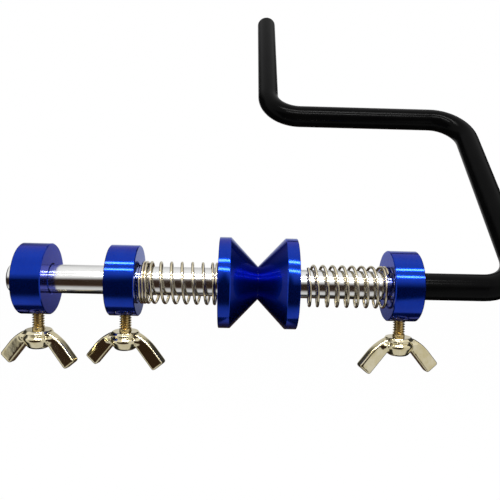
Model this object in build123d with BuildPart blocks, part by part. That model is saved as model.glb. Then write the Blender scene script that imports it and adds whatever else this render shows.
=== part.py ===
"""Fishing line winder: a bent bar carries a shaft with three set collars, two spring-loaded cones
and three wing screws.

Frame: +X runs along the shaft towards the bar's side leg, +Z is up and the wing screws point down.
The origin is on the shaft's axis, where the two cones meet. Lengths are millimetres, angles degrees.
"""

import os
from math import cos, dist, pi, radians, sin, sqrt

from build123d import *

os.makedirs("parts", exist_ok=True)

# ---------------------------------------------------------------- driving dimensions
# shaft
shaft_d = 12.0
shaft_tip = 5.1             # how far the shaft stands out of collar 1
tip_chamfer = 0.7

# collars, by the centre of their width
collar_d = 29.5
collar_w = 12.0
collar_1_x = -91.6
collar_2_x = -55.2
collar_3_x = 60.2
collar_edge = 0.35          # chamfer of the outer edges
bore_edge = 0.5             # chamfer of the bore's mouths

# cones
cone_d = 38.0
cone_rim = 4.8              # width of the cylindrical rim
cone_length = 16.1          # back face to tip
cone_neck_d = 13.9
cone_edge = 0.3

# springs
wire_d = 1.2
spring_od = 18.0
spring_turns = 8
spring_end_pitch = 3.0      # rise of the first and the last turn
spring_length = 34.4        # free length
left_spring_start = 335.0   # where the wire begins, as a turn about +X from +Y
right_spring_start = 127.0

# bent bar, measured in the plane of the bow: out along the shaft and up from it
bar_d = 11.4
bow_lean = 39.8             # lean of the bow back from the plane of the wing screws
leg_x = 113.0               # the side leg's axis
bow_height = 115.0          # the upper leg's axis
stem_x = 6.5                # the stem's axis
stem_length = 100.0         # upper leg's axis to the stem's end
bend_r = 17.5               # on the bar's axis
stem_edge = 2.0             # rounding of the stem's end
bar_entry = 2.0             # how far the bar reaches into collar 3
spigot_d = 7.0
spigot_length = 16.0

# wing screws
screw_leans = (5.0, 5.0, 3.0)       # each collar's turn about the shaft, which swings its screw back
screw_d = 5.0
screw_gap = 6.7             # collar to the head's flange
screw_seat = 5.5            # depth of the stud in the head
stud_point = 0.6            # chamfer of the stud's point
flange_d = 10.6
flange_lip_d = 12.4
flange_h = 1.4
flange_round = 0.3
groove_d = 10.2
groove_h = 0.7
boss_d = 12.8               # at its waist, where it is widest
boss_waist = 3.6            # flange to there
boss_bottom_d = 8.4
head_h = 7.9                # flange to the boss's bottom
waist_round = 1.2
boss_round = 1.6
wing_span = 36.0            # over the outer corners of the tips
wing_width = 6.2
wing_thickness = 4.3
wing_root_x = 6.0           # where the wing's upper edge leaves the flange
wing_root_drop = 0.7
wing_root_slope = 25.0      # of the upper edge there, below the level
wing_curve_r = 22.0         # of the upper edge
wing_droop = 50.0           # slope of the tips
wing_under_x = 5.0          # where the wing's lower edge meets the boss
wing_under_drop = 5.9
wing_round = 0.9
wing_turns = (-15.5, -15.5, 10.0)   # each head's turn about its screw, seen from above

# clearances
running_gap = 0.08          # shaft to the bores of collars and cones
thread_gap = 0.05           # stud to its tapped hole, and to the wing head's bore
spigot_gap = 0.03
face_gap = 0.15             # spring to the face beside it
cone_gap = 0.10             # cone to cone
point_gap = 0.10            # stud's point to the shaft

# ---------------------------------------------------------------- worked out from them
shaft_r = shaft_d / 2
bore_r = shaft_r + running_gap
collar_r = collar_d / 2
coil_r = (spring_od - wire_d) / 2
shaft_start_x = collar_1_x - collar_w / 2 - shaft_tip
joint_x = collar_3_x + collar_w / 2 - bar_entry       # where the shaft ends and the bar begins
cone_back_x = cone_gap / 2 + cone_length
flange_drop = collar_r + screw_gap                    # shaft's axis to the head's flange
bow_plane = Plane.XZ.rotated((-bow_lean, 0, 0))


def save(part, name):
    part.label = name
    export_step(part, f"parts/{name}.step")


# ---------------------------------------------------------------- bent bar
with BuildPart() as frame_bar:
    with BuildLine(bow_plane):
        bar_axis = FilletPolyline(
            (joint_x, 0),
            (leg_x, 0),
            (leg_x, bow_height),
            (stem_x, bow_height),
            (stem_x, bow_height + stem_length),
            radius=bend_r,
        )
    with BuildSketch(Plane(origin=bar_axis @ 0, z_dir=bar_axis % 0)):
        Circle(bar_d / 2)
    sweep()
    stem_end = frame_bar.faces().filter_by(GeomType.PLANE).sort_by_distance(bar_axis @ 1)[0]
    fillet(stem_end.edges(), stem_edge)
    with BuildSketch(Plane.YZ.offset(joint_x)):
        Circle(spigot_d / 2)
    extrude(amount=-spigot_length)
    spigot_end = frame_bar.faces().filter_by(Axis.X).sort_by(Axis.X)[0]
    chamfer(spigot_end.edges(), tip_chamfer)
save(frame_bar.part, "frame_bar")

# ---------------------------------------------------------------- shaft
with BuildPart() as shaft:
    with BuildSketch(Plane.YZ.offset(shaft_start_x)):
        Circle(shaft_r)
    extrude(amount=joint_x - shaft_start_x)
    tip_face = shaft.faces().filter_by(Axis.X).sort_by(Axis.X)[0]
    chamfer(tip_face.edges(), tip_chamfer)
    with BuildSketch(Plane.YZ.offset(joint_x)):
        Circle(spigot_d / 2 + spigot_gap)
    extrude(amount=-spigot_length - face_gap, mode=Mode.SUBTRACT)
save(shaft.part, "shaft")


# ---------------------------------------------------------------- collars
def screw_plane(x, lean):
    """The plane on the shaft's axis that a collar's screw is square to, facing away from the screw."""
    return Plane(origin=(x, 0, 0), x_dir=(1, 0, 0), z_dir=(0, -sin(radians(lean)), cos(radians(lean))))


def make_collar(x, lean):
    """A turned ring with a tapped hole through its wall, for the screw."""
    screw = screw_plane(x, lean)
    with BuildPart() as collar:
        with BuildSketch(Plane.YZ.offset(x - collar_w / 2)):
            Circle(collar_r)
            Circle(bore_r, mode=Mode.SUBTRACT)
        extrude(amount=collar_w)
        rings = collar.edges().filter_by(GeomType.CIRCLE).group_by(SortBy.RADIUS)
        chamfer(rings[-1], collar_edge)
        chamfer(rings[0], bore_edge)
        with Locations(Plane(origin=screw.offset(-collar_r).origin, x_dir=(1, 0, 0), z_dir=-screw.z_dir)):
            Hole(screw_d / 2 + thread_gap, depth=collar_r)
    return collar.part


collar_places = (collar_1_x, collar_2_x, collar_3_x)
for number, (place, lean) in enumerate(zip(collar_places, screw_leans), 1):
    save(make_collar(place, lean), f"collar_{number}")

# ---------------------------------------------------------------- cones
with BuildPart() as right_cone:
    with BuildSketch(Plane.XZ):
        with BuildLine():
            Polyline(
                (cone_gap / 2, bore_r),
                (cone_gap / 2, cone_neck_d / 2),
                (cone_back_x - cone_rim, cone_d / 2),
                (cone_back_x, cone_d / 2),
                (cone_back_x, bore_r),
                close=True,
            )
        make_face()
    revolve(axis=Axis.X)
    back_edges = right_cone.faces().filter_by(Axis.X).sort_by(Axis.X)[-1].edges().sort_by(SortBy.RADIUS)
    chamfer(back_edges[-1], cone_edge)
    chamfer(back_edges[0], bore_edge)
save(right_cone.part, "right_cone")

left_cone = mirror(right_cone.part, about=Plane.YZ)
save(left_cone, "left_cone")


# ---------------------------------------------------------------- springs
def coil_point(turn, start_x, active_pitch, start_angle):
    """A point on the wire's axis and its direction, a number of turns after the start."""
    last = spring_turns - 1
    end_turns = min(turn, 1) + max(turn - last, 0)
    active_turns = max(min(turn, last) - 1, 0)
    rise = spring_end_pitch * end_turns + active_pitch * active_turns
    pitch = spring_end_pitch if turn < 1 or turn > last else active_pitch
    if turn in (1, last):
        pitch = (spring_end_pitch + active_pitch) / 2
    angle = radians(start_angle) + 2 * pi * turn
    place = Vector(start_x + rise, coil_r * cos(angle), coil_r * sin(angle))
    way = Vector(pitch / (2 * pi), -coil_r * sin(angle), coil_r * cos(angle)).normalized()
    return place, way


def biarc(start, start_way, end, end_way):
    """Two arcs that join two places and keep both directions."""
    span = end - start
    both = start_way + end_way
    turn = 2 * (1 - start_way.dot(end_way))
    reach = (sqrt(span.dot(both) ** 2 + turn * span.dot(span)) - span.dot(both)) / turn
    middle = (start + end + (start_way - end_way) * reach) / 2
    middle_way = (end - end_way * reach - start - start_way * reach).normalized()
    TangentArc(start, middle, tangent=start_way)
    TangentArc(middle, end, tangent=middle_way)


def make_spring(start_x, end_x, start_angle):
    """One round wire from the face at start_x to the face at end_x, with straight tips one wire long."""
    tip_rise = wire_d * spring_end_pitch / (2 * pi * coil_r)
    first_x = start_x + face_gap + wire_d / 2 + tip_rise
    last_x = end_x - face_gap - wire_d / 2 - tip_rise
    active_pitch = (last_x - first_x - 2 * spring_end_pitch) / (spring_turns - 2)
    stations = [
        coil_point(half / 2, first_x, active_pitch, start_angle) for half in range(2 * spring_turns + 1)
    ]
    with BuildPart() as spring:
        with BuildLine() as wire_axis:
            place, way = stations[0]
            Line(place - way * wire_d, place)
            for (place, way), (next_place, next_way) in zip(stations, stations[1:]):
                biarc(place, way, next_place, next_way)
            Line(next_place, next_place + next_way * wire_d)
        first_place, first_way = stations[0]
        with BuildSketch(Plane(origin=first_place - first_way * wire_d, z_dir=first_way)):
            Circle(wire_d / 2)
        sweep()
    points = [
        coil_point(step / 48, first_x, active_pitch, start_angle)[0]
        for step in range(48 * spring_turns + 1)
    ]
    gap = min(
        dist(points[i], points[j]) for i in range(len(points)) for j in range(i + 24, len(points))
    ) - wire_d
    length = sum(edge.length for edge in wire_axis.edges())
    print(f"least gap of the wire to itself {gap:.2f} mm, wire {length:.1f} mm")
    print(f"volume {spring.part.volume:.1f}, section times length {pi * wire_d**2 / 4 * length:.1f}")
    return spring.part


save(make_spring(collar_2_x + collar_w / 2, -cone_back_x, left_spring_start), "left_spring")
collar_3_face = collar_3_x - collar_w / 2
save(make_spring(collar_3_face - spring_length, collar_3_face, right_spring_start), "right_spring")


# ---------------------------------------------------------------- wing screws
def make_stud(x, lean):
    """The screw's shank, from just below the shaft into the wing head."""
    point_plane = screw_plane(x, lean).offset(-shaft_r - point_gap)
    length = flange_drop + screw_seat - thread_gap - shaft_r - point_gap
    with BuildPart() as stud:
        with BuildSketch(point_plane):
            Circle(screw_d / 2)
        extrude(amount=-length)
        up = Axis(point_plane.origin, point_plane.z_dir)
        point = stud.faces().filter_by(up).sort_by(up)[-1]
        chamfer(point.edges(), stud_point)
    return stud.part


def make_wing_head(x, lean, turn):
    """A flange, a groove and a bowl-shaped boss with two drooping wings, turned about the screw."""
    seat = screw_plane(x, lean).offset(-flange_drop)
    out = seat.x_dir * cos(radians(turn)) + seat.y_dir * sin(radians(turn))
    wing_plane = Plane(origin=seat.origin, x_dir=out, z_dir=out.cross(seat.z_dir))
    down = Vector(cos(radians(wing_droop)), -sin(radians(wing_droop)))
    across = Vector(-sin(radians(wing_droop)), -cos(radians(wing_droop)))
    root = Vector(wing_root_x, -wing_root_drop)
    root_way = Vector(cos(radians(wing_root_slope)), -sin(radians(wing_root_slope)))
    under = Vector(wing_under_x, -wing_under_drop)
    half_turn = radians(wing_droop - wing_root_slope) / 2
    chord_angle = radians(wing_droop) - half_turn
    chord = 2 * wing_curve_r * sin(half_turn)
    shoulder = root + Vector(cos(chord_angle), -sin(chord_angle)) * chord
    outer_tip = shoulder + down * ((wing_span / 2 - shoulder.X) / down.X)
    inner_tip = outer_tip + across * wing_width
    with BuildPart() as wing:
        with BuildSketch(wing_plane):
            with BuildLine():
                Line((0, root.Y), root)
                TangentArc(root, shoulder, tangent=root_way)
                Polyline(shoulder, outer_tip, inner_tip, under, (0, under.Y), (0, root.Y))
            make_face()
        extrude(amount=wing_thickness / 2, both=True)
        fillet(wing.edges(), wing_round)
    with BuildPart() as head:
        with BuildSketch(wing_plane):
            with BuildLine():
                FilletPolyline(
                    (0, 0),
                    (flange_d / 2, 0),
                    (flange_lip_d / 2, -flange_h),
                    (groove_d / 2, -flange_h),
                    (groove_d / 2, -flange_h - groove_h),
                    (boss_d / 2, -boss_waist),
                    (boss_bottom_d / 2, -head_h),
                    (0, -head_h),
                    radius=[flange_round, flange_round, 0, 0, waist_round, boss_round],
                )
                Line((0, -head_h), (0, 0))
            make_face()
        revolve(axis=Axis(seat.origin, seat.z_dir))
        add(wing.part)
        mirror(wing.part, about=Plane(origin=seat.origin, z_dir=out))
        with Locations(seat):
            Hole(screw_d / 2 + thread_gap, depth=screw_seat)
    return head.part


for number, (place, lean, turn) in enumerate(zip(collar_places, screw_leans, wing_turns), 1):
    save(make_stud(place, lean), f"screw_stud_{number}")
    save(make_wing_head(place, lean, turn), f"wing_head_{number}")
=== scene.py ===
from math import atan2, cos, pi, radians, sin

import bmesh
import bpy
from mathutils import Matrix, Vector


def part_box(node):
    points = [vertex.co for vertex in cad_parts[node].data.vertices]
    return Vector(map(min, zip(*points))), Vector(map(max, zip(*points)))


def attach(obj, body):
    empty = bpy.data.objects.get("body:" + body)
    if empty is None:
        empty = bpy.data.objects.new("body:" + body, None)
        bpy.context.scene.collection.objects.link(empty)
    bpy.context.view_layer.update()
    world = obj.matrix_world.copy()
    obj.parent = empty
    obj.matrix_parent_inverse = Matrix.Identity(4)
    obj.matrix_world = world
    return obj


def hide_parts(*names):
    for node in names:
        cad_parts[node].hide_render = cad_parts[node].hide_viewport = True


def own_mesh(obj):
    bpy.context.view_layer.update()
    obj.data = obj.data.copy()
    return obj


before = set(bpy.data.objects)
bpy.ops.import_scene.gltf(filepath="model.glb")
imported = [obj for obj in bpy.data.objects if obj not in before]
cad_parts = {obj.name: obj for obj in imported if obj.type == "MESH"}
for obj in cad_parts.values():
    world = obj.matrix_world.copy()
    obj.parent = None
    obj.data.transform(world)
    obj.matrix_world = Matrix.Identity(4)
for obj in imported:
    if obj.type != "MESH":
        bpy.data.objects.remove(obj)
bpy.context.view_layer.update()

# Lengths are metres. MM turns millimetres into them.
MM = 0.001

UP = Vector((0, 0, 1))
OUT = Vector((1, 0, 0))

# ---------------------------------------------------------------- sizes
cone_rim = 4.8 * MM
cone_neck_d = 13.9 * MM
cone_gap = 0.02 * MM
cone_bore_r = 6.03 * MM
cone_inner_round = 0.2 * MM     # the rim's edge towards the other cone
cone_back_round = 0.3 * MM
cone_steps = 128
flank_inset = 0.5 * MM          # the turned flanks start this far inside the rim

wire_d = 1.2 * MM
wire_segments = 20
wire_end_round = 0.12 * MM
# The rise of each turn from left to right, in mm; the turns marked None share what is left evenly
spring_pitches = {
    "left": (1.25, 1.25, 2.05, None, None, None, None, None, 3.9, 1.22),
    "right": (3.0, None, None, None, None, None, None, None, 1.25),
}
spring_start_angles = {"left": 170.0, "right": 127.0}   # where the wire begins, in degrees about +X from +Y
parts_of_turn = 8
steps_of_part = 6
spring_sag = 0.7 * MM           # the loose coils hang a little below the shaft's axis
merge_distance = 0.0001 * MM

thread_pitch = 1.06 * MM
thread_depth = 0.62 * MM
thread_root_share = 0.22        # shares of the pitch
thread_crest_share = 0.12
thread_steps = 40               # round one turn
shank_length = 1.1 * MM         # plain part between the thread and the wing head
shank_round = 0.3 * MM

# each screw stands square to the shaft, swung back by its collar's turn
screw_leans = {1: 5.0, 2: 5.0, 3: 3.0}
wing_turns = {1: -15.5, 2: -15.5, 3: 10.0}      # each head's turn about its screw, seen from above
screw_d = 5.0 * MM
screw_gap = 6.7 * MM            # collar to the head's flange
screw_seat = 5.5 * MM
point_gap = 0.1 * MM
bore_gap = 0.05 * MM

# the wing head, from its flange's top downwards and from the screw's axis outwards
flange_d = 10.6 * MM
flange_lip_d = 12.4 * MM
flange_h = 1.4 * MM
groove_d = 10.2 * MM
groove_h = 0.7 * MM
boss_d = 12.8 * MM
boss_waist = 3.6 * MM
boss_bottom_d = 8.4 * MM
head_h = 7.9 * MM
wing_span = 36.0 * MM
wing_width = 6.2 * MM
wing_thickness = 4.3 * MM
wing_root_x = 6.0 * MM
wing_root_drop = 0.7 * MM
wing_root_slope = 25.0
wing_curve_r = 22.0 * MM
wing_droop = 50.0
wing_under_x = 5.0 * MM
wing_under_drop = 5.9 * MM
wing_round = 0.9 * MM
wing_start = 3.4 * MM           # inside the boss
root_x = 6.3 * MM               # the swelling where a wing leaves the boss
root_drop = 3.8 * MM
root_radii = (3.2 * MM, 2.8 * MM, 2.4 * MM)
boss_rounds = {3: 0.25 * MM, 4: 0.3 * MM, 7: 0.9 * MM, 8: 1.2 * MM}     # by corner of its outline
boss_steps = 96
wing_curve_steps = 12
casting_grain = 0.13 * MM       # how finely the casting's surface is rebuilt
# Where a wing leaves the boss: from and to along the wing, the most across it, from and to in height
root_zone = (5.0 * MM, 9.5 * MM, 3.6 * MM, -7.6 * MM, -2.4 * MM)
outer_start = 6.6 * MM          # the wings proper, clear of the boss
root_smoothing, outer_smoothing, whole_smoothing = 24, 30, 3    # rounds of each


# ---------------------------------------------------------------- mesh helpers
def only(made, kind):
    """The verts or edges among what a mesh operator made."""
    return [item for item in made if isinstance(item, kind)]


def finish_piece(bm, name, material, sharp_angle=32.0):
    """Turns a bmesh into an object with outward faces, smooth but for its sharp edges."""
    bmesh.ops.remove_doubles(bm, verts=bm.verts, dist=1e-6)
    bmesh.ops.recalc_face_normals(bm, faces=bm.faces)
    mesh = bpy.data.meshes.new(name)
    bm.to_mesh(mesh)
    bm.free()
    mesh.shade_smooth()
    mesh.set_sharp_from_angle(angle=radians(sharp_angle))
    piece = bpy.data.objects.new(name, mesh)
    bpy.context.scene.collection.objects.link(piece)
    piece.data.materials.append(material)
    return piece


def lathe(bm, outline, centre, axis, out, corner_rounds, steps):
    """Turns a closed outline of (distance from the axis, place along it) into a solid."""
    verts = [bm.verts.new(centre + out * r + axis * h) for r, h in outline]
    face = bm.faces.new(verts)
    for corner, size in corner_rounds.items():
        bmesh.ops.bevel(
            bm, geom=[verts[corner]], offset=size, offset_type="OFFSET", affect="VERTICES",
            segments=4, profile=0.5, material=-1,
        )
    edges = [e for e in bm.edges if len(e.link_faces) == 1]
    bmesh.ops.delete(bm, geom=bm.faces[:], context="FACES_ONLY")
    on_axis = [e for e in edges if all((v.co - centre).cross(axis).length < 1e-7 for v in e.verts)]
    bmesh.ops.delete(bm, geom=on_axis, context="EDGES")
    bmesh.ops.spin(
        bm, geom=[*bm.verts, *bm.edges], cent=centre, axis=axis, angle=2 * pi, steps=steps, use_merge=True,
    )
    bmesh.ops.remove_doubles(bm, verts=bm.verts, dist=merge_distance)


def loose_object(bm, name):
    mesh = bpy.data.meshes.new(name)
    bmesh.ops.recalc_face_normals(bm, faces=bm.faces)
    bm.to_mesh(mesh)
    bm.free()
    made = bpy.data.objects.new(name, mesh)
    bpy.context.scene.collection.objects.link(made)
    return made


def take_in(bm, other):
    """Adds another bmesh's faces to this one and frees it."""
    mesh = bpy.data.meshes.new("taken_in")
    other.to_mesh(mesh)
    other.free()
    bm.from_mesh(mesh)
    bpy.data.meshes.remove(mesh)


# ---------------------------------------------------------------- node helpers
def add(tree, kind, place, **values):
    node = tree.nodes.new(kind)
    node.location = place
    for key, value in values.items():
        setattr(node, key, value)
    return node


def join(tree, *pairs):
    """Links each pair's first socket to its second."""
    for start, end in pairs:
        tree.links.new(start, end)


def new_group(name, inputs, outputs):
    """An empty shader node group with float, vector or colour sockets."""
    kinds = {"f": "NodeSocketFloat", "v": "NodeSocketVector", "c": "NodeSocketColor"}
    tree = bpy.data.node_groups.new(name, "ShaderNodeTree")
    for socket, kind, default in inputs:
        made = tree.interface.new_socket(name=socket, in_out="INPUT", socket_type=kinds[kind])
        made.default_value = default
    for socket, kind in outputs:
        tree.interface.new_socket(name=socket, in_out="OUTPUT", socket_type=kinds[kind])
    return tree, add(tree, "NodeGroupInput", (-900, 0)), add(tree, "NodeGroupOutput", (900, 0))


def turned_marks_group():
    """Fine lathe marks that run round the X axis, on cylinders and on end faces alike."""
    tree, inside, out = new_group(
        "turned_marks",
        [("Size", "f", 0.0003), ("Strength", "f", 0.1)],
        [("Mask", "f"), ("Normal", "v")],
    )
    place = add(tree, "ShaderNodeTexCoord", (-900, -250))
    split = add(tree, "ShaderNodeSeparateXYZ", (-720, -250))
    flat = add(tree, "ShaderNodeCombineXYZ", (-560, -350))
    length = add(tree, "ShaderNodeVectorMath", (-400, -350), operation="LENGTH")
    both = add(tree, "ShaderNodeCombineXYZ", (-240, -250))
    scale = add(tree, "ShaderNodeMath", (-560, 100), operation="DIVIDE")
    noise = add(tree, "ShaderNodeTexNoise", (-60, -100))
    bump = add(tree, "ShaderNodeBump", (300, -200))
    scale.inputs[0].default_value = 1.0
    noise.inputs["Detail"].default_value = 3.0
    bump.inputs["Distance"].default_value = 0.00002
    join(
        tree,
        (place.outputs["Object"], split.inputs[0]),
        (split.outputs["Y"], flat.inputs["Y"]),
        (split.outputs["Z"], flat.inputs["Z"]),
        (flat.outputs[0], length.inputs[0]),
        (split.outputs["X"], both.inputs["X"]),
        (length.outputs["Value"], both.inputs["Y"]),
        (inside.outputs["Size"], scale.inputs[1]),
        (both.outputs[0], noise.inputs["Vector"]),
        (scale.outputs[0], noise.inputs["Scale"]),
        (noise.outputs["Fac"], bump.inputs["Height"]),
        (inside.outputs["Strength"], bump.inputs["Strength"]),
        (noise.outputs["Fac"], out.inputs["Mask"]),
        (bump.outputs["Normal"], out.inputs["Normal"]),
    )
    return tree


def mottle_group():
    """Soft uneven patches: a mask, a roughness between two values and a blend of two colours."""
    tree, inside, out = new_group(
        "mottle",
        [
            ("Size", "f", 0.004), ("Low roughness", "f", 0.1), ("High roughness", "f", 0.2),
            ("Colour", "c", (1, 1, 1, 1)), ("Other colour", "c", (0.8, 0.8, 0.8, 1)),
        ],
        [("Mask", "f"), ("Roughness", "f"), ("Colour", "c")],
    )
    place = add(tree, "ShaderNodeTexCoord", (-900, -250))
    scale = add(tree, "ShaderNodeMath", (-700, 150), operation="DIVIDE")
    noise = add(tree, "ShaderNodeTexNoise", (-460, 0))
    spread = add(tree, "ShaderNodeMapRange", (-240, 0))
    rough = add(tree, "ShaderNodeMapRange", (100, 150))
    blend = add(tree, "ShaderNodeMix", (100, -150), data_type="RGBA")
    scale.inputs[0].default_value = 1.0
    noise.inputs["Detail"].default_value = 4.0
    noise.inputs["Roughness"].default_value = 0.6
    spread.inputs["From Min"].default_value = 0.3
    spread.inputs["From Max"].default_value = 0.7
    join(
        tree,
        (place.outputs["Object"], noise.inputs["Vector"]),
        (inside.outputs["Size"], scale.inputs[1]),
        (scale.outputs[0], noise.inputs["Scale"]),
        (noise.outputs["Fac"], spread.inputs["Value"]),
        (spread.outputs[0], rough.inputs["Value"]),
        (inside.outputs["Low roughness"], rough.inputs["To Min"]),
        (inside.outputs["High roughness"], rough.inputs["To Max"]),
        (spread.outputs[0], blend.inputs["Factor"]),
        (inside.outputs["Colour"], blend.inputs["A"]),
        (inside.outputs["Other colour"], blend.inputs["B"]),
        (spread.outputs[0], out.inputs["Mask"]),
        (rough.outputs[0], out.inputs["Roughness"]),
        (blend.outputs["Result"], out.inputs["Colour"]),
    )
    return tree


def skin_group():
    """A fine uneven skin, as of a casting, a plated wire or sprayed paint."""
    tree, inside, out = new_group("skin", [("Size", "f", 0.001), ("Strength", "f", 0.1)], [("Normal", "v")])
    place = add(tree, "ShaderNodeTexCoord", (-900, -250))
    scale = add(tree, "ShaderNodeMath", (-700, 150), operation="DIVIDE")
    noise = add(tree, "ShaderNodeTexNoise", (-400, 0))
    bump = add(tree, "ShaderNodeBump", (0, 0))
    scale.inputs[0].default_value = 1.0
    noise.inputs["Detail"].default_value = 2.0
    bump.inputs["Distance"].default_value = 0.0001
    join(
        tree,
        (place.outputs["Object"], noise.inputs["Vector"]),
        (inside.outputs["Size"], scale.inputs[1]),
        (scale.outputs[0], noise.inputs["Scale"]),
        (noise.outputs["Fac"], bump.inputs["Height"]),
        (inside.outputs["Strength"], bump.inputs["Strength"]),
        (bump.outputs["Normal"], out.inputs["Normal"]),
    )
    return tree


def near_axis_group():
    """A mask for what lies nearer to the X axis than a given distance."""
    tree, inside, out = new_group("near_axis", [("Distance", "f", 0.01)], [("Mask", "f")])
    place = add(tree, "ShaderNodeTexCoord", (-700, 0))
    across = add(tree, "ShaderNodeVectorMath", (-500, 0), operation="MULTIPLY")
    length = add(tree, "ShaderNodeVectorMath", (-300, 0), operation="LENGTH")
    nearer = add(tree, "ShaderNodeMath", (0, 0), operation="LESS_THAN")
    across.inputs[1].default_value = (0, 1, 1)
    join(
        tree,
        (place.outputs["Object"], across.inputs[0]),
        (across.outputs[0], length.inputs[0]),
        (length.outputs["Value"], nearer.inputs[0]),
        (inside.outputs["Distance"], nearer.inputs[1]),
        (nearer.outputs[0], out.inputs["Mask"]),
    )
    return tree


near_axis = near_axis_group()
turned_marks = turned_marks_group()
mottle = mottle_group()
skin = skin_group()


# ---------------------------------------------------------------- materials
flank_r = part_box("left_cone")[1].y - flank_inset        # the turned flanks lie within this


def new_material(name):
    material = bpy.data.materials.new(name)
    material.use_nodes = True
    return material, material.node_tree, material.node_tree.nodes["Principled BSDF"]


def place_group(tree, group, place, **values):
    node = add(tree, "ShaderNodeGroup", place, node_tree=group)
    for key, value in values.items():
        node.inputs[key.replace("_", " ")].default_value = value
    return node


def metal(
    name, colour, other_colour, roughness, patch_size, marks=None, skin_values=None, coat=None, flank=None,
):
    """A metal whose colour and roughness drift in soft patches, with lathe marks or a fine skin; where a
    flank is given, the metal nearer the axis is rougher and its colour there is painted darker, as painted
    shade.
    """
    material, tree, shader = new_material(name)
    shader.inputs["Metallic"].default_value = 1.0
    patches = place_group(
        tree, mottle, (-500, 200), Size=patch_size, Low_roughness=roughness[0],
        High_roughness=roughness[1], Colour=(*colour, 1), Other_colour=(*other_colour, 1),
    )
    join(
        tree,
        (patches.outputs["Colour"], shader.inputs["Base Color"]),
        (patches.outputs["Roughness"], shader.inputs["Roughness"]),
    )
    # Nearer the X axis than the given distance the metal turns rougher, and its colour turns darker: the
    # darker colour is painted shade.
    if flank:
        inner = place_group(tree, near_axis, (-500, 500), Distance=flank[0])
        rougher = add(tree, "ShaderNodeMix", (-250, 400))
        darker = add(tree, "ShaderNodeMix", (-250, 700), data_type="RGBA")
        rougher.inputs["B"].default_value = flank[1]
        darker.inputs["B"].default_value = (*flank[2], 1)
        join(
            tree,
            (inner.outputs["Mask"], rougher.inputs["Factor"]),
            (inner.outputs["Mask"], darker.inputs["Factor"]),
            (patches.outputs["Roughness"], rougher.inputs["A"]),
            (patches.outputs["Colour"], darker.inputs["A"]),
            (rougher.outputs["Result"], shader.inputs["Roughness"]),
            (darker.outputs["Result"], shader.inputs["Base Color"]),
        )
    if marks:
        surface = place_group(tree, turned_marks, (-500, -200), Size=marks[0], Strength=marks[1])
    else:
        surface = place_group(tree, skin, (-500, -200), Size=skin_values[0], Strength=skin_values[1])
    tree.links.new(surface.outputs["Normal"], shader.inputs["Normal"])
    if coat:
        shader.inputs["Metallic"].default_value = 0.95
        shader.inputs["Specular Tint"].default_value = (0.28, 0.42, 0.95, 1)
        shader.inputs["Coat Weight"].default_value = coat[0]
        shader.inputs["Coat IOR"].default_value = coat[1]
        shader.inputs["Coat Roughness"].default_value = coat[2]
    return material


blue_anodised = metal(
    "blue_anodised", (0.001, 0.033, 0.39), (0.001, 0.026, 0.34), (0.10, 0.15), 0.006,
    marks=(0.25 * MM, 0.12), coat=(1.0, 1.2, 0.05),
)
# Inside the rim the cones' flanks are rougher, and their colour is painted darker as painted shade in the
# hollow between the two cones.
cone_anodised = metal(
    "cone_anodised", (0.001, 0.031, 0.38), (0.001, 0.025, 0.33), (0.11, 0.15), 0.006,
    marks=(0.25 * MM, 0.12), coat=(1.0, 1.2, 0.05), flank=(flank_r, 0.26, (0.0005, 0.014, 0.25)),
)
polished_steel = metal(
    "polished_steel", (0.86, 0.86, 0.85), (0.80, 0.80, 0.79), (0.12, 0.18), 0.008, marks=(0.3 * MM, 0.08),
)
spring_wire = metal(
    "spring_wire", (0.76, 0.70, 0.53), (0.64, 0.55, 0.36), (0.12, 0.20), 0.005, skin_values=(0.5 * MM, 0.05),
)
cast_nickel = metal(
    "cast_nickel", (0.82, 0.75, 0.54), (0.68, 0.59, 0.33), (0.07, 0.13), 0.004, skin_values=(3.4 * MM, 0.7),
)
yellow_zinc = metal(
    "yellow_zinc", (0.72, 0.58, 0.30), (0.56, 0.42, 0.18), (0.28, 0.38), 0.002, skin_values=(0.4 * MM, 0.10),
)


def black_paint_material():
    """Glossy black paint with a faint orange-peel skin."""
    material, tree, shader = new_material("black_paint")
    patches = place_group(
        tree, mottle, (-500, 200), Size=0.012, Low_roughness=0.14, High_roughness=0.24,
        Colour=(0.0008, 0.0008, 0.0009, 1), Other_colour=(0.0015, 0.0015, 0.0015, 1),
    )
    peel = place_group(tree, skin, (-500, -200), Size=0.0015, Strength=0.08)
    join(
        tree,
        (patches.outputs["Colour"], shader.inputs["Base Color"]),
        (patches.outputs["Roughness"], shader.inputs["Roughness"]),
        (peel.outputs["Normal"], shader.inputs["Normal"]),
    )
    shader.inputs["Specular IOR Level"].default_value = 0.045
    return material


black_paint = black_paint_material()

carried_over = {
    "frame_bar": black_paint,
    "shaft": polished_steel,
    "collar_1": blue_anodised,
    "collar_2": blue_anodised,
    "collar_3": blue_anodised,
}
for node_name, node_material in carried_over.items():
    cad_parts[node_name].material_slots[0].material = node_material


# ---------------------------------------------------------------- cones
def make_cone(side, out):
    """A turned cone with a cylindrical rim, its tip close to the other's, bored for the shaft."""
    low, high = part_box(f"{side}_cone")
    back = max(-low.x, high.x)
    rim_r = high.y
    bm = bmesh.new()
    lathe(
        bm,
        [
            (cone_bore_r, cone_gap / 2), (cone_neck_d / 2, cone_gap / 2), (rim_r, back - cone_rim),
            (rim_r, back), (cone_bore_r, back),
        ],
        Vector(), out, UP, {2: cone_inner_round, 3: cone_back_round}, cone_steps,
    )
    cone = finish_piece(bm, f"{side}_turned_cone", cone_anodised, 20.0)
    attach(cone, f"{side}_cone")
    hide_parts(f"{side}_cone")


make_cone("left", -OUT)
make_cone("right", OUT)


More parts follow.
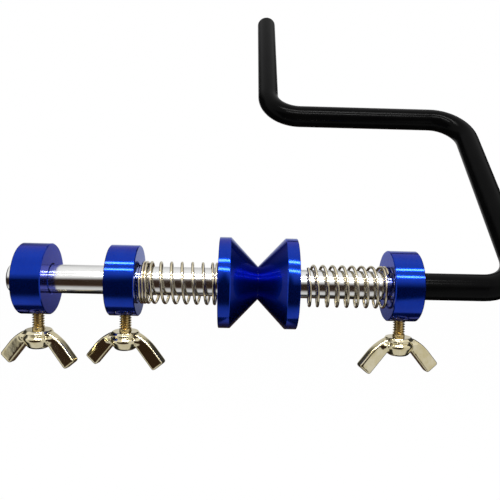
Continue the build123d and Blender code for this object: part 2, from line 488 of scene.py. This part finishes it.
# ---------------------------------------------------------------- springs
def make_spring(side, collar):
    """One round wire in right-handed turns, wound close where it bears on its collar."""
    low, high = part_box(f"{side}_spring")
    coil_r = (high.z - low.z) / 2 - wire_d / 2
    pitches = spring_pitches[side]
    given = [pitch for pitch in pitches if pitch]
    first_slope, last_slope = (atan2(pitches[end] * MM, 2 * pi * coil_r) for end in (0, -1))
    first_x = low.x + wire_d / 2 + wire_d * sin(first_slope)
    last_x = high.x - wire_d / 2 - wire_d * sin(last_slope)
    free_pitch = (last_x - first_x - sum(given) * MM) / (len(pitches) - len(given))
    start = radians(spring_start_angles[side])

    def along(slope):
        return Vector((sin(slope), -cos(slope) * sin(start), cos(slope) * cos(start)))

    way = along(first_slope)
    place = Vector((first_x, coil_r * cos(start), coil_r * sin(start)))
    bm = bmesh.new()
    section = Matrix.Translation(place - way * wire_d) @ way.to_track_quat("Z", "Y").to_matrix().to_4x4()
    bmesh.ops.create_circle(bm, segments=wire_segments, radius=wire_d / 2, matrix=section)

    def straight_end(ring, slope):
        made = bmesh.ops.extrude_edge_only(bm, edges=ring)["geom"]
        bmesh.ops.translate(bm, verts=only(made, bmesh.types.BMVert), vec=along(slope) * wire_d)
        return only(made, bmesh.types.BMEdge)

    ring = straight_end(bm.edges[:], first_slope)
    for pitch in pitches:
        rise = pitch * MM if pitch else free_pitch
        for _ in range(parts_of_turn):
            made = bmesh.ops.spin(
                bm, geom=ring, cent=(0, 0, 0), axis=OUT, angle=2 * pi / parts_of_turn,
                steps=steps_of_part, dvec=(rise / parts_of_turn / steps_of_part, 0, 0),
            )["geom_last"]
            ring = only(made, bmesh.types.BMEdge)
    straight_end(ring, last_slope)
    bmesh.ops.remove_doubles(bm, verts=bm.verts, dist=merge_distance)
    ends = bmesh.ops.holes_fill(bm, edges=[e for e in bm.edges if e.is_boundary])["faces"]
    bmesh.ops.bevel(
        bm, geom=list({e for f in ends for e in f.edges}), offset=wire_end_round, affect="EDGES",
        segments=2, profile=0.5, material=-1,
    )
    bmesh.ops.translate(bm, verts=bm.verts, vec=-UP * spring_sag)
    spring = finish_piece(bm, f"{side}_coil", spring_wire)
    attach(spring, collar)
    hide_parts(f"{side}_spring")
    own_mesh(spring)


make_spring("left", "collar_2")
make_spring("right", "collar_3")


# ---------------------------------------------------------------- wing screws
collar_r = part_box("collar_1")[1].y
shaft_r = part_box("shaft")[1].y
flange_drop = collar_r + screw_gap


def screw_place(number):
    """From a screw that hangs from the origin by its flange's top to its place under its collar."""
    low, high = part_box(f"collar_{number}")
    return (
        Matrix.Translation(((low.x + high.x) / 2, 0, 0))
        @ Matrix.Rotation(radians(screw_leans[number]), 4, "X")
        @ Matrix.Translation((0, 0, -flange_drop))
        @ Matrix.Rotation(radians(wing_turns[number]), 4, "Z")
    )


def thread_bmesh():
    """The screw's shank: a right-handed thread, a plain part below it and a seat in the wing head."""
    radius = screw_d / 2
    top = flange_drop - shaft_r - point_gap
    seat = bore_gap - screw_seat
    root = thread_root_share * thread_pitch
    flank = (1 - thread_root_share - thread_crest_share) * thread_pitch / 2
    crest = thread_crest_share * thread_pitch
    inner = radius - thread_depth
    profile = [
        (inner, 0), (inner, root), (radius, root + flank), (radius, root + flank + crest),
        (inner, thread_pitch),
    ]
    turns = int((top - shank_length) / thread_pitch) + 3
    first_z = shank_length - 1.5 * thread_pitch
    bm = bmesh.new()
    verts = [bm.verts.new((r, 0, first_z + h)) for r, h in profile]
    for one, other in zip(verts, verts[1:]):
        bm.edges.new((one, other))
    bmesh.ops.spin(
        bm, geom=[*bm.verts, *bm.edges], cent=(0, 0, 0), axis=UP,
        dvec=(0, 0, thread_pitch / thread_steps), angle=2 * pi * turns, steps=thread_steps * turns,
    )
    bmesh.ops.remove_doubles(bm, verts=bm.verts, dist=2e-6)
    for height, normal in ((top, (0, 0, 1)), (shank_length, (0, 0, -1))):
        bmesh.ops.bisect_plane(
            bm, geom=[*bm.verts, *bm.edges, *bm.faces], dist=1e-7, plane_co=(0, 0, height),
            plane_no=normal, clear_outer=True,
        )
    bmesh.ops.holes_fill(bm, edges=[e for e in bm.edges if e.is_boundary])
    shank = bmesh.new()
    lathe(
        shank, [(0, seat), (radius, seat), (radius, shank_length), (0, shank_length)],
        Vector(), UP, OUT, {1: shank_round, 2: shank_round}, thread_steps,
    )
    take_in(bm, shank)
    return bm


def boss_bmesh():
    """The turned middle of the wing head, with the screw's hole."""
    bm = bmesh.new()
    bore_r = screw_d / 2 + bore_gap
    lathe(
        bm,
        [
            (0, -screw_seat), (bore_r, -screw_seat), (bore_r, 0), (flange_d / 2, 0),
            (flange_lip_d / 2, -flange_h), (groove_d / 2, -flange_h), (groove_d / 2, -flange_h - groove_h),
            (boss_d / 2, -boss_waist), (boss_bottom_d / 2, -head_h), (0, -head_h),
        ],
        Vector(), UP, OUT, boss_rounds, boss_steps,
    )
    return bm


def wing_bmesh(out):
    """One drooping wing: its outline in the plane of the screw's axis, thickened, its edges rounded."""
    down = Vector((cos(radians(wing_droop)), -sin(radians(wing_droop))))
    across = Vector((-sin(radians(wing_droop)), -cos(radians(wing_droop))))
    slopes = [
        wing_root_slope + (wing_droop - wing_root_slope) * step / wing_curve_steps
        for step in range(wing_curve_steps + 1)
    ]
    upper = [Vector((wing_root_x, -wing_root_drop))]
    for slope_a, slope_b in zip(slopes, slopes[1:]):
        middle = radians((slope_a + slope_b) / 2)
        step = wing_curve_r * radians(slope_b - slope_a)
        upper.append(upper[-1] + Vector((cos(middle), -sin(middle))) * step)
    outer_tip = upper[-1] + down * ((wing_span / 2 - upper[-1].x) / down.x)
    inner_tip = outer_tip + across * wing_width
    outline = [
        Vector((wing_start, upper[0].y)), *upper, outer_tip, inner_tip,
        Vector((wing_under_x, -wing_under_drop)), Vector((wing_start, -wing_under_drop)),
    ]
    side = out.cross(UP)
    bm = bmesh.new()
    verts = [bm.verts.new(out * p.x + UP * p.y - side * wing_thickness / 2) for p in outline]
    face = bm.faces.new(verts)
    made = bmesh.ops.extrude_face_region(bm, geom=[face])["geom"]
    bmesh.ops.translate(bm, verts=only(made, bmesh.types.BMVert), vec=side * wing_thickness)
    bmesh.ops.recalc_face_normals(bm, faces=bm.faces)
    sharp = [e for e in bm.edges if e.calc_face_angle(0) > radians(20)]
    bmesh.ops.bevel(
        bm, geom=sharp, offset=wing_round, affect="EDGES", segments=5, profile=0.5, material=-1,
    )
    return bm


def relax(bm, verts, rounds):
    for _ in range(rounds):
        bmesh.ops.smooth_vert(
            bm, verts=verts, factor=0.5, use_axis_x=True, use_axis_y=True, use_axis_z=True,
        )


def casting_mesh():
    """A boss, two wings and their swollen roots rebuilt as one casting with soft corners."""
    whole = boss_bmesh()
    for way in (OUT, -OUT):
        take_in(whole, wing_bmesh(way))
        swelling = Matrix.Translation(way * root_x - UP * root_drop) @ Matrix.Diagonal((*root_radii, 1))
        bmesh.ops.create_uvsphere(whole, u_segments=48, v_segments=24, radius=1, matrix=swelling)
    casting = loose_object(whole, "casting")
    rebuild = casting.modifiers.new("rebuild", "REMESH")
    rebuild.mode = "VOXEL"
    rebuild.voxel_size = casting_grain
    mesh = bpy.data.meshes.new_from_object(casting.evaluated_get(bpy.context.evaluated_depsgraph_get()))
    bpy.data.objects.remove(casting)
    bm = bmesh.new()
    bm.from_mesh(mesh)
    bpy.data.meshes.remove(mesh)
    near, far, side, low, high = root_zone
    roots = [
        v for v in bm.verts if near < abs(v.co.x) < far and abs(v.co.y) < side and low < v.co.z < high
    ]
    relax(bm, roots, root_smoothing)
    relax(bm, [v for v in bm.verts if abs(v.co.x) > outer_start], outer_smoothing)
    relax(bm, bm.verts, whole_smoothing)
    mesh = bpy.data.meshes.new("casting")
    bm.to_mesh(mesh)
    bm.free()
    return mesh


def finish_screw_part(bm, number, name, replaced, material, sharp_angle):
    """Hangs a part of a wing screw under its collar; both parts of a screw turn with its head."""
    bm.transform(screw_place(number))
    piece = finish_piece(bm, f"{name}_{number}", material, sharp_angle)
    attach(piece, f"wing_head_{number}")
    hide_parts(f"{replaced}_{number}")


casting = casting_mesh()
for screw_number in (1, 2, 3):
    finish_screw_part(
        thread_bmesh(), screw_number, "thread", "screw_stud", yellow_zinc, 40.0,
    )
    head_bm = bmesh.new()
    head_bm.from_mesh(casting)
    finish_screw_part(head_bm, screw_number, "wings", "wing_head", cast_nickel, 60.0)
bpy.data.meshes.remove(casting)


# ---------------------------------------------------------------- floor, light and camera
floor_z = -0.27
floor_half = 6.0
white_share = 0.95              # how much of the floor shows as plain white
light_level = 0.95              # the room as the light source; the camera sees it at 1

camera_place = (-0.00771, -0.22939, 0.01395)
camera_yaw, camera_pitch, camera_roll = -1.043, 0.042, 1.289    # degrees
camera_lens = 39.37
strip_distance = 0.8
# name, elevation, width, depth, power, centre to the right, tilt
strip_lights = [
    ("upper_strip", 58, 0.62, 0.075, 3.4, 0.04, 3),
    ("lower_strip", 35, 0.62, 0.065, 2.9, 0.04, 6),
]

# What the metal mirrors, by how far round from the level in front to the level behind, in degrees: the
# room over the top, and the floor underneath. The dark of both is a little warm.
room_levels = [
    (0, 0.03), (4, 0.06), (8, 0.15), (17, 0.48), (26, 0.92), (70, 0.85), (88, 1.0), (112, 0.9), (150, 0.65),
    (180, 0.72),
]
floor_levels = [
    (0, 0.02), (43, 0.025), (50, 0.10), (60, 0.48), (72, 0.66), (94, 0.68), (105, 0.5), (114, 0.25),
    (124, 0.07), (136, 0.04), (168, 0.06), (174, 0.28), (178, 0.6),
]
dark_level = 0.2                # below this the mirrored surroundings turn brown
dark_tint = (1.5, 0.82, 0.5)

# How much further up the dark reaches, in degrees, by the direction in degrees to the right of the front
dark_rise = [(-40, -8), (-21, -9), (-12, -1), (-2, 12), (7, -7), (16, -6), (40, -3)]
rise_scale = 20.0
# Where the surroundings are bright all the way down, as shares by the same direction
open_sides = [(-96, 0), (-86, 1), (-63, 1), (-56, 0), (27, 0), (32, 1), (86, 1), (96, 0)]
open_level = 0.7
# Where the room behind is dark up to a low height, as shares by the same direction
dark_corners = [
    (-162, 1), (-152, 0.06), (-96, 0.06), (-84, 1), (84, 1), (96, 0.06), (152, 0.06), (162, 1),
]
corner_heights = (0.5, 0.75)


def ramp_node(tree, place, stops_wanted):
    """A colour ramp with its stops at given shares of its length."""
    ramp = add(tree, "ShaderNodeValToRGB", place)
    stops = ramp.color_ramp.elements
    while len(stops) < len(stops_wanted):
        stops.new(0.5)
    for stop, (share, colour) in zip(stops, stops_wanted):
        stop.position = share
        stop.color = (*colour, 1)
    return ramp


def level_colours(levels):
    """Grey where it is bright and brown where it is dark."""
    made = []
    for angle, level in levels:
        warmth = max(0, 1 - level / dark_level)
        made.append((angle / 180, [level * (1 + warmth * (tint - 1)) for tint in dark_tint]))
    return made


def surroundings_group():
    """The colour of the studio in a given direction from the object, for the metal to mirror."""
    tree, inside, out = new_group("surroundings", [("Way", "v", (0, -1, 0))], [("Colour", "c")])
    split = add(tree, "ShaderNodeSeparateXYZ", (-700, 0))
    front = add(tree, "ShaderNodeMath", (-500, -100), operation="MULTIPLY")
    height = add(tree, "ShaderNodeMath", (-500, 100), operation="ABSOLUTE")
    over = add(tree, "ShaderNodeMath", (-300, 100), operation="ARCTAN2")
    over_share = add(tree, "ShaderNodeMath", (-100, 100), operation="DIVIDE")
    sideways = add(tree, "ShaderNodeMath", (-300, -200), operation="ARCTAN2")
    side_share = add(tree, "ShaderNodeMapRange", (-100, -200))
    rise = ramp_node(tree, (100, -400), [
        ((angle + 180) / 360, [0.5 + up / rise_scale / 2] * 3) for angle, up in dark_rise
    ])
    opening = ramp_node(tree, (100, -700), [
        ((angle + 180) / 360, [share] * 3) for angle, share in open_sides
    ])
    lift = add(tree, "ShaderNodeMapRange", (400, -400))
    lower = add(tree, "ShaderNodeMath", (600, 0), operation="SUBTRACT")
    room = ramp_node(tree, (800, 100), level_colours(room_levels))
    ground = ramp_node(tree, (800, -200), level_colours(floor_levels))
    below = add(tree, "ShaderNodeMath", (800, 400), operation="LESS_THAN")
    choose = add(tree, "ShaderNodeMix", (1100, 0), data_type="RGBA")
    sides = add(tree, "ShaderNodeMix", (1300, 0), data_type="RGBA")
    brighter = add(tree, "ShaderNodeMix", (1500, 0), data_type="RGBA", blend_type="LIGHTEN")
    corners = ramp_node(tree, (100, -1000), [
        ((angle + 180) / 360, [share] * 3) for angle, share in dark_corners
    ])
    above = add(tree, "ShaderNodeMapRange", (1300, -400))
    shade = add(tree, "ShaderNodeMix", (1500, -400), data_type="RGBA")
    darker = add(tree, "ShaderNodeMix", (1700, 0), data_type="RGBA", blend_type="MULTIPLY")
    front.inputs[1].default_value = -1
    over_share.inputs[1].default_value = pi
    side_share.inputs["From Min"].default_value = -pi
    side_share.inputs["From Max"].default_value = pi
    lift.inputs["To Min"].default_value = -rise_scale / 180
    lift.inputs["To Max"].default_value = rise_scale / 180
    below.inputs[1].default_value = 0
    sides.inputs["A"].default_value = (0, 0, 0, 1)
    sides.inputs["B"].default_value = (open_level, open_level, open_level, 1)
    above.inputs["From Min"].default_value = corner_heights[0]
    above.inputs["From Max"].default_value = corner_heights[1]
    shade.inputs["B"].default_value = (1, 1, 1, 1)
    darker.inputs["Factor"].default_value = 1
    brighter.inputs["Factor"].default_value = 1
    join(
        tree,
        (side_share.outputs[0], corners.inputs["Fac"]),
        (split.outputs["Z"], above.inputs["Value"]),
        (above.outputs[0], shade.inputs["Factor"]),
        (corners.outputs["Color"], shade.inputs["A"]),
        (brighter.outputs["Result"], darker.inputs["A"]),
        (shade.outputs["Result"], darker.inputs["B"]),
        (inside.outputs["Way"], split.inputs[0]),
        (split.outputs["Y"], front.inputs[0]),
        (split.outputs["Z"], height.inputs[0]),
        (height.outputs[0], over.inputs[0]),
        (front.outputs[0], over.inputs[1]),
        (over.outputs[0], over_share.inputs[0]),
        (split.outputs["X"], sideways.inputs[0]),
        (front.outputs[0], sideways.inputs[1]),
        (sideways.outputs[0], side_share.inputs["Value"]),
        (side_share.outputs[0], rise.inputs["Fac"]),
        (side_share.outputs[0], opening.inputs["Fac"]),
        (rise.outputs["Color"], lift.inputs["Value"]),
        (over_share.outputs[0], lower.inputs[0]),
        (lift.outputs[0], lower.inputs[1]),
        (lower.outputs[0], room.inputs["Fac"]),
        (over_share.outputs[0], ground.inputs["Fac"]),
        (split.outputs["Z"], below.inputs[0]),
        (below.outputs[0], choose.inputs["Factor"]),
        (room.outputs["Color"], choose.inputs["A"]),
        (ground.outputs["Color"], choose.inputs["B"]),
        (opening.outputs["Color"], sides.inputs["Factor"]),
        (choose.outputs["Result"], brighter.inputs["A"]),
        (sides.outputs["Result"], brighter.inputs["B"]),
        (darker.outputs["Result"], out.inputs["Colour"]),
    )
    return tree


surroundings = surroundings_group()


def floor_material():
    """White to the camera but for a faint shadow; in reflections it shows the studio."""
    material, tree, shader = new_material("pale_floor")
    shader.inputs["Base Color"].default_value = (0.9, 0.9, 0.9, 1)
    shader.inputs["Roughness"].default_value = 0.9
    shader.inputs["Specular IOR Level"].default_value = 0.0
    path = add(tree, "ShaderNodeLightPath", (-900, 400))
    share = add(tree, "ShaderNodeMath", (-500, 400), operation="MULTIPLY")
    white = add(tree, "ShaderNodeEmission", (0, 0))
    mix = add(tree, "ShaderNodeMixShader", (300, 200))
    share.inputs[1].default_value = white_share
    place = add(tree, "ShaderNodeTexCoord", (-1100, -200))
    studio = place_group(tree, surroundings, (-500, -200))
    mirrored = add(tree, "ShaderNodeEmission", (0, -200))
    choose = add(tree, "ShaderNodeMixShader", (550, 0))
    join(
        tree,
        (path.outputs["Is Camera Ray"], share.inputs[0]),
        (share.outputs[0], mix.inputs["Fac"]),
        (shader.outputs[0], mix.inputs[1]),
        (white.outputs[0], mix.inputs[2]),
        (place.outputs["Object"], studio.inputs["Way"]),
        (studio.outputs["Colour"], mirrored.inputs["Color"]),
        (path.outputs["Is Glossy Ray"], choose.inputs["Fac"]),
        (mix.outputs[0], choose.inputs[1]),
        (mirrored.outputs[0], choose.inputs[2]),
        (choose.outputs[0], tree.nodes["Material Output"].inputs["Surface"]),
    )
    return material


def make_floor():
    bm = bmesh.new()
    bmesh.ops.create_grid(
        bm, x_segments=1, y_segments=1, size=floor_half, matrix=Matrix.Translation((0, 0, floor_z)),
    )
    floor = loose_object(bm, "floor")
    floor.data.materials.append(floor_material())


def make_world():
    """A white room to the camera and for the light, and a lit studio in what the metal mirrors."""
    world = bpy.data.worlds.new("studio")
    bpy.context.scene.world = world
    world.use_nodes = True
    tree = world.node_tree
    plain = tree.nodes["Background"]
    plain.inputs["Color"].default_value = (1, 1, 1, 1)
    path = add(tree, "ShaderNodeLightPath", (-900, 500))
    level = add(tree, "ShaderNodeMapRange", (-400, 400))
    level.inputs["To Min"].default_value = light_level
    level.inputs["To Max"].default_value = 1.0
    way = add(tree, "ShaderNodeTexCoord", (-1300, -100))
    studio = place_group(tree, surroundings, (-500, -100))
    mirrored = add(tree, "ShaderNodeBackground", (0, -100))
    choose = add(tree, "ShaderNodeMixShader", (300, 200))
    join(
        tree,
        (path.outputs["Is Camera Ray"], level.inputs["Value"]),
        (level.outputs[0], plain.inputs["Strength"]),
        (way.outputs["Generated"], studio.inputs["Way"]),
        (studio.outputs["Colour"], mirrored.inputs["Color"]),
        (path.outputs["Is Glossy Ray"], choose.inputs["Fac"]),
        (plain.outputs[0], choose.inputs[1]),
        (mirrored.outputs[0], choose.inputs[2]),
        (choose.outputs[0], tree.nodes["World Output"].inputs["Surface"]),
    )


def make_strip_light(name, elevation, size_x, size_y, power, centre_x, tilt):
    """A long softbox in front of the object, aimed at it, a little higher at its left end."""
    lamp = bpy.data.lights.new(name, "AREA")
    lamp.shape = "RECTANGLE"
    lamp.size = size_x
    lamp.size_y = size_y
    lamp.energy = power
    light = bpy.data.objects.new(name, lamp)
    bpy.context.scene.collection.objects.link(light)
    rise = radians(elevation)
    light.location = (centre_x, -strip_distance * cos(rise), strip_distance * sin(rise))
    aim = Matrix.Rotation(pi / 2 - rise, 4, "X") @ Matrix.Rotation(radians(-tilt), 4, "Z")
    light.rotation_euler = aim.to_euler()


def make_camera():
    """The photograph's viewpoint, fitted to the edges of the shaft, collars, cones and bar."""
    data = bpy.data.cameras.new("camera")
    data.lens = camera_lens
    data.sensor_width = 36.0
    data.clip_start = 0.01
    camera = bpy.data.objects.new("camera", data)
    bpy.context.scene.collection.objects.link(camera)
    yaw, pitch, roll = radians(camera_yaw), radians(camera_pitch), radians(camera_roll)
    right = Vector((cos(yaw), sin(yaw), 0))
    level = Vector((-sin(yaw), cos(yaw), 0))
    forward = level * cos(pitch) - UP * sin(pitch)
    upward = UP * cos(pitch) + level * sin(pitch)
    tilted_right = right * cos(roll) + upward * sin(roll)
    tilted_up = upward * cos(roll) - right * sin(roll)
    turned = Matrix((tilted_right, tilted_up, -forward)).transposed().to_4x4()
    camera.matrix_world = Matrix.Translation(camera_place) @ turned
    bpy.context.scene.camera = camera


make_floor()
make_world()
for strip_light in strip_lights:
    make_strip_light(*strip_light)
make_camera()
bpy.context.scene.view_settings.view_transform = "Standard"
